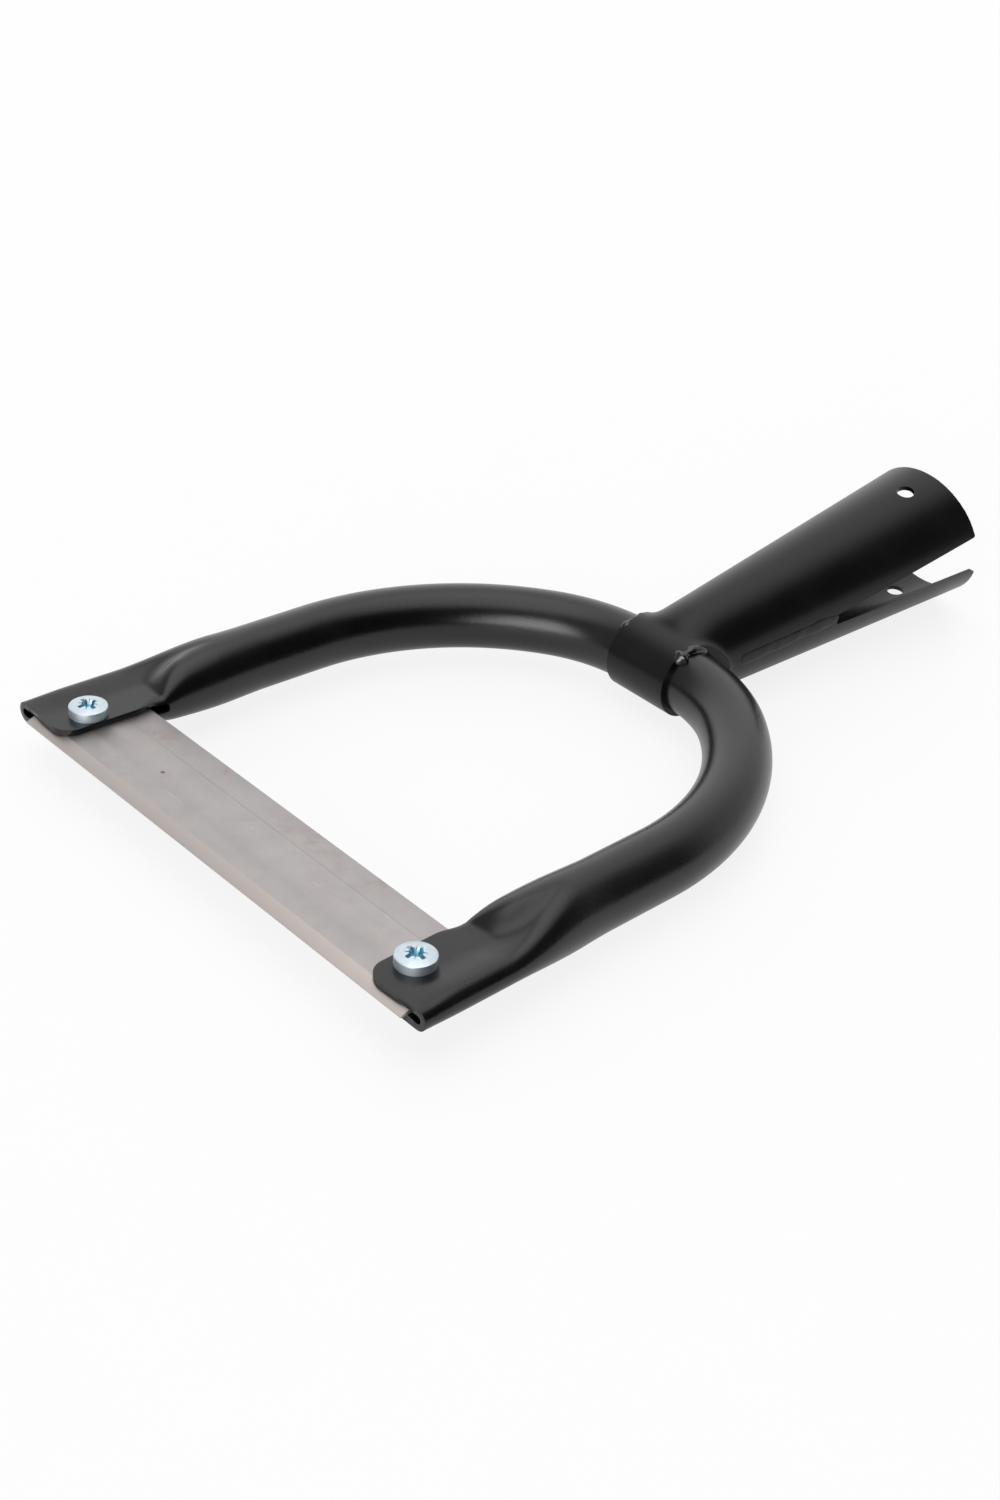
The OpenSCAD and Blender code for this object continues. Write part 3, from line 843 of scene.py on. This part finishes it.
class SPUD_OT_screws(Operator):
    """Turns the pan-head screws with their cross recess and a plain round shank where the thread would be"""
    bl_idname = "spud.screws"
    bl_label = "Blade screws"

    def execute(self, context):
        sizes = context.scene.fixing_sizes
        seat = context.scene.bow_sizes.lip_half
        rim = sizes.head_h * RIM_SHARE
        begin()
        bpy.ops.mesh.primitive_cylinder_add(vertices=HEAD_POINTS, radius=sizes.head_r, depth=rim,
                                            end_fill_type="NGON",
                                            location=ORIGIN + Vector((0, 0, seat + rim / 2)))
        screw = named("screw_blank")
        settle(screw)
        edit(screw)
        pick(screw, "FACE", lambda f: f.normal.z > UPRIGHT)
        for step in range(CREST_RINGS):
            before, now = 1 - step / CREST_RINGS, 1 - (step + 1) / CREST_RINGS
            taken = LAST_STEP_SHARE if step == CREST_RINGS - 1 else 1
            bpy.ops.mesh.inset(thickness=sizes.head_r * (before - now) * taken, depth=0)
            bpy.ops.transform.translate(value=(0, 0, (sizes.head_h - rim) * (before ** 2 - now ** 2)))
        bpy.ops.mesh.poke()
        pick(screw, "FACE", lambda f: f.normal.z < -UPRIGHT)
        bpy.ops.mesh.inset(thickness=sizes.head_r - sizes.thread_r * SHANK_SHARE, depth=0)
        extrude((0, 0, TIP_LENGTH - sizes.length))
        extrude((0, 0, -TIP_LENGTH))
        bpy.ops.transform.resize(value=(TIP_TAPER, TIP_TAPER, 1), center_override=(ORIGIN.x, 0, ORIGIN.z))
        done()
        half_rim = ORIGIN.z + seat + rim / 2
        bevel_sharp(screw, RIM_ROUNDING, angle=50, segments=3, test=lambda place: place.z > half_rim)
        crest = seat + sizes.head_h
        recess = rod("recess", CORE_LOW[1], (0, 0, crest - CORE_LOW[0]), (0, 0, crest + CORE_HIGH[0]),
                     CORE_POINTS, CORE_HIGH[1])
        for turn, width, reach, depth in WINGS:
            middle = ORIGIN + Vector((0, 0, crest + (WING_TOP - depth) / 2 * MM))
            begin()
            bpy.ops.mesh.primitive_cube_add(size=1, location=middle,
                                            scale=(2 * reach * MM, width * MM, (depth + WING_TOP) * MM))
            wing = named("wing")
            settle(wing)
            edit(wing)
            pick(wing, "VERT", lambda v: v.co.z < middle.z)
            bpy.ops.transform.resize(value=WING_FOOT, center_override=(ORIGIN.x, 0, ORIGIN.z))
            done()
            spin = Matrix.Rotation(math.radians(turn), 4, "Z")
            wing.data.transform(Matrix.Translation(ORIGIN) @ spin @ Matrix.Translation(-ORIGIN))
            cut(recess, wing, "UNION")
        cut(screw, recess)
        smooth(screw, angle=30)
        material = zinc(context)
        for side, sign in SIDES.items():
            piece = screw.copy()
            piece.data = screw.data.copy()
            context.collection.objects.link(piece)
            piece.name = piece.data.name = f"blade_screw_{side}_turned"
            piece.data.transform(Matrix.Translation((0, sign * sizes.spacing / 2, 0)))
            deliver(piece, material, "zinc", f"blade_screw_{side}")
        bpy.data.objects.remove(screw)
        return {"FINISHED"}


class SPUD_OT_nuts(Operator):
    """Finishes the lock nuts and their nylon rings"""
    bl_idname = "spud.nuts"
    bl_label = "Lock nuts"

    def execute(self, context):
        plate = zinc(context)
        nylon = moulded_nylon(context.scene.spud_colours)
        for side in SIDES:
            for node, material in ((f"lock_nut_{side}", plate), (f"nylon_ring_{side}", nylon)):
                solid = frame["nodes"][node]
                solid.data.materials.clear()
                solid.data.materials.append(material)
        return {"FINISHED"}


# The handle socket

# Points round the socket's blanks and tools
ROUND_POINTS = 96

# The blank: how much too long both its parts are before they are cut, where its cone starts, and its voxels
SPARE = 8 * MM
CONE_BLANK = 2 * MM
VOXEL = 0.62 * MM

# The blank's skin is brought to shape in a few passes: how far from its ends, from which length along the
# cone on also beyond the collar, and the least square of a direction's length that a step is divided by
SKIN_PASSES = 5
SKIN_MARGIN = 2 * MM
PAST_COLLAR = 12 * MM
LEAST_SQUARE = 0.2

# Where the cone's rounded inner end lies along the socket, inside the collar, its rounding, and the
# greatest factor by which the cone is drawn in, which is 1 at the crown's centre line
CONE_START = 4 * MM
START_ROUNDING = 1.5 * MM
DRAWN_IN_MOST = 2

# Wedges trim the collar's ends and the cone beside them: their outline, as lengths from the crown
# towards the handle and from the collar's end outwards, and their half height, in metres
WEDGE = ((-0.03, 0), (0, 0), (0.045, 0.0117), (0.045, 0.03), (-0.03, 0.03))
WEDGE_HALF = 0.03

# Half lengths of the tools for the tube's bore and the handle's screw, points round the second, and
# the hollow's start and overshoot along the socket
BORE_HALF = 0.03
HANDLE_DRILL_HALF = 0.04
HANDLE_HOLE_POINTS = 40
HOLLOW_START = 8 * MM
HOLLOW_PAST = 5 * MM

# The gap between the tube and the collar's right end: its depth, its shift towards the blade, the tool's
# overshoot, and the wall that it leaves
FLARE_DEPTH = 3 * MM
FLARE_SHIFT = 0.3 * MM
FLARE_PAST = 0.2 * MM
FLARE_WALL = 0.9 * MM

# The slit's upper and lower edge, each from its inner end to the mouth, as lengths along the socket and
# drops below its centre line, the rounding of the mouth's corners, its points, and the overshoot past
# the mouth, all in millimetres. The last value is how far right of the centre line the tool reaches.
SLIT_UPPER = ((63, -0.8), (127.9, -6.5))
SLIT_LOWER = ((63, 3.1), (129.5, 7.2))
SLIT_CORNER = 1.3
SLIT_CORNER_POINTS = 7
SLIT_PAST = 12
SLIT_DEPTHS = (8 * MM, 40 * MM)


def crown_reach():
    """From the screws' line to the tube's centre line at the crown."""
    return bpy.context.scene.bow_sizes.reach


class SocketLine:
    """The socket's centre line in the screws' frame, and the cone round it."""

    def __init__(self, sizes):
        self.sizes = sizes
        self.root = Vector((crown_reach(), 0, sizes.lift))
        self.along = Vector((math.cos(sizes.tilt), 0, math.sin(sizes.tilt)))
        self.down = Vector((math.sin(sizes.tilt), 0, -math.cos(sizes.tilt)))
        self.slope = (sizes.mouth_r - sizes.root_r) / sizes.length

    def place(self, at):
        """The point of the centre line at a length along it."""
        return self.root + self.along * at

    def radius(self, at):
        """Outer radius of the cone at a length along it."""
        return self.sizes.root_r + self.slope * at


def soft_greater(first, second, softness):
    """The greater of two lengths with a rounded change-over, and the second one's share of it."""
    greater = np.maximum(first, second)
    first_part = np.exp((first - greater) / softness)
    second_part = np.exp((second - greater) / softness)
    both = first_part + second_part
    return greater + softness * np.log(both), (second_part / both)[:, None]


def gap_to_shape(rows, line, sizes):
    """Signed gap from points to the smooth skin of collar and cone, and the way out of it."""
    along = np.array(line.along)
    # The collar, round the tube at the crown
    crown = np.array(ORIGIN) + (crown_reach(), 0, 0)
    flat = (rows - crown) * (1, 0, 1)
    reach = np.linalg.norm(flat, axis=1)
    to_collar = reach - sizes.collar_r
    collar_way = flat / np.maximum(reach, TINY)[:, None]
    # The cone, drawn in near the collar
    off = rows - np.array(ORIGIN + line.root)
    at = off @ along
    across = off - np.outer(at, along)
    wide = np.linalg.norm(across, axis=1)
    drawn_in = np.clip(1 - at / sizes.neck_end, 0, DRAWN_IN_MOST)
    slope = line.slope + 2 * sizes.neck_draw * drawn_in / sizes.neck_end
    lean = np.hypot(1, slope)
    to_cone = (wide - sizes.root_r - line.slope * at + sizes.neck_draw * drawn_in ** 2) / lean
    cone_way = (across / np.maximum(wide, TINY)[:, None] - slope[:, None] * along) / lean[:, None]
    # The cone's rounded inner end
    to_cone, share = soft_greater(to_cone, CONE_START - at, START_ROUNDING)
    cone_way = cone_way * (1 - share) - along * share
    # Both of them, with a soft hollow where they meet
    depth, share = soft_greater(-to_cone, -to_collar, sizes.neck_blend)
    return -depth, cone_way * (1 - share) + collar_way * share


def bring_to_skin(rows, line, sizes):
    """Brings points to the smooth skin of collar and cone."""
    for _ in range(SKIN_PASSES):
        gap, way = gap_to_shape(rows, line, sizes)
        square = np.sum(way * way, 1)
        rows = rows - way * (gap / np.maximum(square, LEAST_SQUARE))[:, None]
    return rows


def slab(name, outline, low, high, place):
    """A flat-sided tool: an outline in its own plane, pushed out between two depths and then placed."""
    begin()
    bpy.ops.mesh.primitive_circle_add(vertices=len(outline), radius=MM, fill_type="NGON")
    tool = named(name)
    move_points(tool, np.array([(x, y, low) for x, y in outline]))
    edit(tool)
    bpy.ops.mesh.select_all(action="SELECT")
    extrude((0, 0, high - low))
    bpy.ops.mesh.select_all(action="SELECT")
    bpy.ops.mesh.normals_make_consistent(inside=False)
    done()
    tool.data.transform(place)
    if place.determinant() < 0:
        tool.data.flip_normals()
    return tool


def slit_outline():
    """Outline of the open slit, with the mouth's corners rounded off, in metres."""
    points = []
    turns = np.linspace(0, math.pi / 2, SLIT_CORNER_POINTS)
    for (inner, (x, y)), sign in ((SLIT_UPPER, -1), (SLIT_LOWER, 1)):
        arc = [(x - SLIT_CORNER * (1 - math.sin(turn)), y + sign * SLIT_CORNER * (1 - math.cos(turn)))
               for turn in turns]
        edge = [inner, *arc, (x + SLIT_PAST, y + sign * SLIT_CORNER)]
        points += edge if sign < 0 else edge[::-1]
    return [(x * MM, y * MM) for x, y in points]


class SPUD_OT_socket(Operator):
    """Rolls the handle socket, blends it into its collar, and cuts its mouth, slit and holes"""
    bl_idname = "spud.socket"
    bl_label = "Handle socket"

    def execute(self, context):
        sizes = context.scene.socket_sizes
        tube_r = context.scene.bow_sizes.tube_r
        line = SocketLine(sizes)
        reach = crown_reach()
        end = sizes.collar_half + SPARE
        far = sizes.length + SPARE
        socket = rod("socket", sizes.collar_r, (reach, -end, 0), (reach, end, 0), ROUND_POINTS)
        cone = rod("cone", line.radius(CONE_BLANK), line.place(CONE_BLANK), line.place(far), ROUND_POINTS,
                   line.radius(far))
        cut(socket, cone, "UNION")
        socket.data.remesh_voxel_size = VOXEL
        alone(socket)
        bpy.ops.object.voxel_remesh()
        rows = points_of(socket)
        at = (rows - np.array(ORIGIN + line.root)) @ np.array(line.along)
        skin = (np.abs(rows[:, 1]) < end - SKIN_MARGIN) | (at > PAST_COLLAR)
        skin &= at < far - SKIN_MARGIN
        rows[skin] = bring_to_skin(rows[skin], line, sizes)
        move_points(socket, rows)
        for sign in SIDES.values():
            place = Matrix.Translation(ORIGIN + Vector((reach, sign * sizes.collar_half, 0)))
            place @= Matrix.Scale(sign, 4, (0, 1, 0))
            cut(socket, slab("wedge", WEDGE, -WEDGE_HALF, WEDGE_HALF, place))
        mouth = ORIGIN + line.root + line.along * sizes.length
        normal = Euler((0, -sizes.rake, sizes.skew)).to_matrix() @ line.along
        edit(socket)
        bpy.ops.mesh.select_all(action="SELECT")
        bpy.ops.mesh.bisect(plane_co=mouth, plane_no=normal, use_fill=True, clear_outer=True)
        done()
        bore_end = Vector((0, BORE_HALF, 0))
        crown = Vector((reach, 0, 0))
        cut(socket, rod("bore", tube_r + sizes.play, crown - bore_end, crown + bore_end, ROUND_POINTS))
        cut(socket, rod("flare", tube_r, (reach, FLARE_DEPTH - sizes.collar_half, 0),
                        (reach - FLARE_SHIFT, -sizes.collar_half - FLARE_PAST, 0), ROUND_POINTS,
                        sizes.collar_r - FLARE_WALL))
        hollow_end = far + HOLLOW_PAST
        cut(socket, rod("hollow", line.radius(HOLLOW_START) - sizes.sheet, line.place(HOLLOW_START),
                        line.place(hollow_end), ROUND_POINTS, line.radius(hollow_end) - sizes.sheet))
        right_side = Matrix((line.along, line.down, (0, -1, 0))).transposed().to_4x4()
        place = Matrix.Translation(ORIGIN + line.root) @ right_side
        cut(socket, slab("slit", slit_outline(), *SLIT_DEPTHS, place))
        bore = next(mount for mount in frame["record"]["mounts"] if mount["name"] == "handle_screw")
        middle = Vector(bore["pos_m"]) - ORIGIN
        drill_end = Vector(bore["axis"]) * HANDLE_DRILL_HALF
        cut(socket, rod("hole", sizes.hole_r, middle - drill_end, middle + drill_end,
                        HANDLE_HOLE_POINTS))
        smooth(socket, angle=35)
        colours = context.scene.spud_colours
        paint = powder_coat("socket_paint", colours, peel=0.25, roughness=0.26, specular=0.3)
        deliver(socket, paint, "socket_paint", "handle_socket")
        return {"FINISHED"}


# Welds

# Points round a bead, its steps along, and the seed of its random waves
BEAD_POINTS = 24
BEAD_STEP = 0.35 * MM
SEED = 5

# The seam: its start and end along the socket, its widths there, how many degrees it lies below the right
# side, its height over the cone, and how deep it goes in
SEAM = (19.8 * MM, 63.3 * MM)
SEAM_WIDTH = (4.6 * MM, 3.8 * MM)
SEAM_DIP = 1
SEAM_HEIGHT = 0.2 * MM
SEAM_DEPTH = 0.5 * MM

# The fillets: their radius, the turns in degrees from the top where they start and end, and how far their
# middle lies off the tube
FILLET_R = 1.75 * MM
FILLET_TURNS = (-40, 38)
FILLET_OFF = 0.1 * MM

# Waves: their typical spacing and size, in metres or as a share, of the seam's half width, height and place
# and of the fillets' radius
WIDTH_WAVES = (4.3 * MM, 0.3 * MM)
HEIGHT_WAVES = (3.6 * MM, 0.45)
PLACE_WAVES = (4 * MM, 0.3 * MM)
FILLET_WAVES = (2.4 * MM, 0.3)

# How bluntly the ends round off, as a power, and the square of the share that is left at the very end
SEAM_END = (12, 0.02)
FILLET_END = (8, 0.03)

# The lump in the fillets: its turn and breadth in degrees, and its size as a share of the radius
LUMP_TURN = -24
LUMP_BREADTH = 7
LUMP_SIZE = {"left": 0.2, "right": 0.7}


def wander(rng, at, spacing, amount):
    """Smooth random waves along a length, of a typical spacing and size."""
    knots = np.arange(at.min() - spacing, at.max() + 2 * spacing, spacing)
    heights = rng.uniform(-amount, amount, len(knots))
    place = (at - knots[0]) / spacing
    knot = place.astype(int)
    return between(heights[knot], heights[knot + 1], ease(place - knot))


def rounded_ends(share, power, least):
    """The share of a bead's full size along it, which falls off at both ends."""
    return np.sqrt(np.clip(1 - (2 * share - 1) ** power, least, 1))


def bead(name, steps, place):
    """A closed weld bead: a filled ring extruded step by step, with every ring then moved to its place."""
    begin()
    bpy.ops.mesh.primitive_circle_add(vertices=BEAD_POINTS, radius=MM, fill_type="NGON")
    piece = named(name)
    edit(piece)
    bpy.ops.mesh.select_all(action="SELECT")
    for _ in range(steps):
        extrude((0, 0, MM))
    done()
    rows = points_of(piece)
    share = np.round(rows[:, 2] / MM) / steps
    move_points(piece, place(share, np.arctan2(rows[:, 1], rows[:, 0])))
    face_outwards(piece)
    smooth(piece, angle=60)
    return piece


class SPUD_OT_welds(Operator):
    """Lays the weld along the socket's seam and the two fillets between its collar and the bow"""
    bl_idname = "spud.welds"
    bl_label = "Welds"

    def execute(self, context):
        sizes = context.scene.socket_sizes
        colours = context.scene.spud_colours
        tube_r = context.scene.bow_sizes.tube_r
        line = SocketLine(sizes)
        rng = np.random.default_rng(SEED)
        length = SEAM[1] - SEAM[0]

        def along_seam(share, turn):
            at = share * length
            end = rounded_ends(share, *SEAM_END)
            half = between(*SEAM_WIDTH, share) / 2 * end + wander(rng, at, *WIDTH_WAVES) * end
            high = SEAM_HEIGHT * end * (1 + wander(rng, at, *HEIGHT_WAVES))
            shift = wander(rng, at, *PLACE_WAVES)
            up = np.where(np.sin(turn) > 0, np.sin(turn) * high, np.sin(turn) * SEAM_DEPTH)
            radius = line.radius(SEAM[0] + at)
            around = math.radians(SEAM_DIP) + (half * np.cos(turn) + shift) / radius
            side = np.outer(np.cos(around), (0, -1, 0)) + np.outer(np.sin(around), line.down)
            return (np.array(ORIGIN + line.root) + np.outer(SEAM[0] + at, line.along)
                    + side * (radius + up)[:, None])

        seam = bead("seam_bead", round(length / BEAD_STEP), along_seam)
        seam_paint = powder_coat("seam_paint", colours, peel=0.5, roughness=0.26, specular=0.3)
        deliver(seam, seam_paint, "weld_paint", "socket_seam_weld")
        fillet_paint = powder_coat("fillet_paint", colours, peel=0.5, roughness=0.12, specular=0.8)
        first, last = (math.radians(turn) for turn in FILLET_TURNS)
        crown = np.array(ORIGIN) + (crown_reach(), 0, 0)
        for side, sign in SIDES.items():

            def round_collar(share, turn, side=side, sign=sign):
                around = between(first, last, share)
                end = rounded_ends(share, *FILLET_END)
                lump = LUMP_SIZE[side] * np.exp(-((np.degrees(around) - LUMP_TURN) / LUMP_BREADTH) ** 2)
                size = FILLET_R * end * (1 + wander(rng, around * tube_r, *FILLET_WAVES) + lump)
                radius = tube_r + FILLET_OFF + size * np.cos(turn)
                y = sign * (sizes.collar_half + size * np.sin(turn))
                return crown + np.stack([radius * np.sin(around), y, radius * np.cos(around)], 1)

            fillet = bead(f"collar_bead_{side}", round((last - first) * tube_r / BEAD_STEP), round_collar)
            deliver(fillet, fillet_paint, "weld_paint", f"collar_weld_{side}")
        return {"FINISHED"}


# The stage

# The camera: its place in metres, its turn in degrees, its lens and sensor in millimetres, and how near
# and how far it sees
CAMERA_PLACE = (-0.46919, -0.45523, 0.39502)
CAMERA_TURN = (58.036, -3.1061, -41.1349)
CAMERA_LENS = 57.325
CAMERA_SENSOR = 36
CAMERA_CLIP = (0.05, 50)

# Soft lights, each as the way towards it, the cosines where it fades in and is full, and its strength
SOFTBOX = ((-0.878, -0.467, 0.105), 0.8, 1.0, 5.0)
OVERHEAD = ((0.0, 0.0, 1.0), 0.75, 0.98, 1.5)
BACKDROP = ((0.8, 0.55, -0.2), 0.05, 0.45, 0.74)
LEFT_WALL = ((-0.5, 0.85, 0.0), -0.6, 0.2, 0.38)

# The dim light that comes from everywhere
DIM = 0.03

# The floor: its side in metres, its parts each way, its palest tint, how much of it the camera sees as
# plain white, and how much of that shows in reflections
FLOOR_SIDE = 6
FLOOR_PARTS = 8
FLOOR_PALEST = (0.93, 0.93, 0.93)
FLOOR_WHITE = 0.84
FLOOR_IN_GLOSS = 0.6


def studio_world():
    """A white backdrop for the camera, and around the object a studio of four soft lights."""
    world = bpy.data.worlds.new("studio")
    world.use_nodes = True
    nodes = Nodes(world.node_tree)
    way = nodes.add("TexCoord", output="Generated")
    glow = DIM
    for towards, low, high, strength in (SOFTBOX, OVERHEAD, BACKDROP, LEFT_WALL):
        turned = nodes.add("VectorMath", {"operation": "DOT_PRODUCT"}, {0: way, 1: towards}, output="Value")
        glow = turned.ramp(low, high, 0.0, strength) + glow
    inputs = {MIX_FACTOR: nodes.seen(), MIX_NUMBERS[0]: glow, MIX_NUMBERS[1]: 1.0}
    shade = nodes.add("Mix", {"data_type": "FLOAT"}, inputs)
    back = nodes.tree.nodes["Background"]
    back.inputs["Color"].default_value = (1, 1, 1, 1)
    nodes.tree.links.new(shade.socket, back.inputs["Strength"])
    return world


def white_paper(colours):
    """Pale paper that the camera sees nearly white, and that keeps the object's shadow."""
    paper = Shader("paper")
    fibre = paper.noise(40, 3.0, 0.5)
    paper.finish(Base_Color=paper.blend(fibre, colours.floor, FLOOR_PALEST), Roughness=0.3)
    white = paper.add("Emission", None, {"Color": (1, 1, 1, 1)})
    plain = Value(paper, paper.surface.outputs[0])
    lit = paper.add("MixShader", None, {0: paper.seen(FLOOR_IN_GLOSS) * FLOOR_WHITE, 1: plain, 2: white})
    paper.tree.links.new(lit.socket, paper.tree.nodes["Material Output"].inputs["Surface"])
    return paper.material


class SPUD_OT_stage(Operator):
    """Lays the floor and sets the soft lights, the backdrop and the camera"""
    bl_idname = "spud.stage"
    bl_label = "Stage"

    def execute(self, context):
        scene = context.scene
        scene.view_settings.view_transform = "Standard"
        begin()
        bpy.ops.mesh.primitive_grid_add(x_subdivisions=FLOOR_PARTS, y_subdivisions=FLOOR_PARTS,
                                        size=FLOOR_SIDE, location=(0, 0, 0))
        floor = named("floor")
        floor.data.materials.append(white_paper(scene.spud_colours))
        scene.world = studio_world()
        data = bpy.data.cameras.new("camera")
        data.sensor_width = CAMERA_SENSOR
        data.lens = CAMERA_LENS
        data.clip_start, data.clip_end = CAMERA_CLIP
        camera = bpy.data.objects.new("camera", data)
        context.collection.objects.link(camera)
        camera.location = CAMERA_PLACE
        camera.rotation_euler = [math.radians(turn) for turn in CAMERA_TURN]
        scene.camera = camera
        return {"FINISHED"}


class SPUD_PT_panel(Panel):
    """Lists the pieces of the spud head and the stage"""
    bl_label = "Bark Spud Head"
    bl_idname = "SPUD_PT_panel"
    bl_space_type = "VIEW_3D"
    bl_region_type = "UI"
    bl_category = "Bark Spud"

    def draw(self, context):
        for operator in OPERATORS:
            self.layout.operator(operator.bl_idname)


GROUPS = {"bow_sizes": BowSizes, "blade_sizes": BladeSizes, "fixing_sizes": FixingSizes,
          "socket_sizes": SocketSizes, "spud_colours": SpudColours}
OPERATORS = [SPUD_OT_stage, SPUD_OT_bow, SPUD_OT_blade, SPUD_OT_screws, SPUD_OT_nuts, SPUD_OT_socket,
             SPUD_OT_welds]


def register():
    """Registers the classes and the sizes and colours."""
    for group in [*GROUPS.values(), *OPERATORS, SPUD_PT_panel]:
        bpy.utils.register_class(group)
    for name, group in GROUPS.items():
        setattr(bpy.types.Scene, name, PointerProperty(type=group))


def unregister():
    """Removes what register adds."""
    for name in GROUPS:
        delattr(bpy.types.Scene, name)
    for group in [*GROUPS.values(), *OPERATORS, SPUD_PT_panel]:
        bpy.utils.unregister_class(group)


def main():
    """Makes every piece and the stage."""
    register()
    bpy.ops.spud.stage()
    bpy.ops.spud.bow()
    bpy.ops.spud.blade()
    bpy.ops.spud.screws()
    bpy.ops.spud.nuts()
    bpy.ops.spud.socket()
    bpy.ops.spud.welds()


if __name__ == "__main__":
    main()
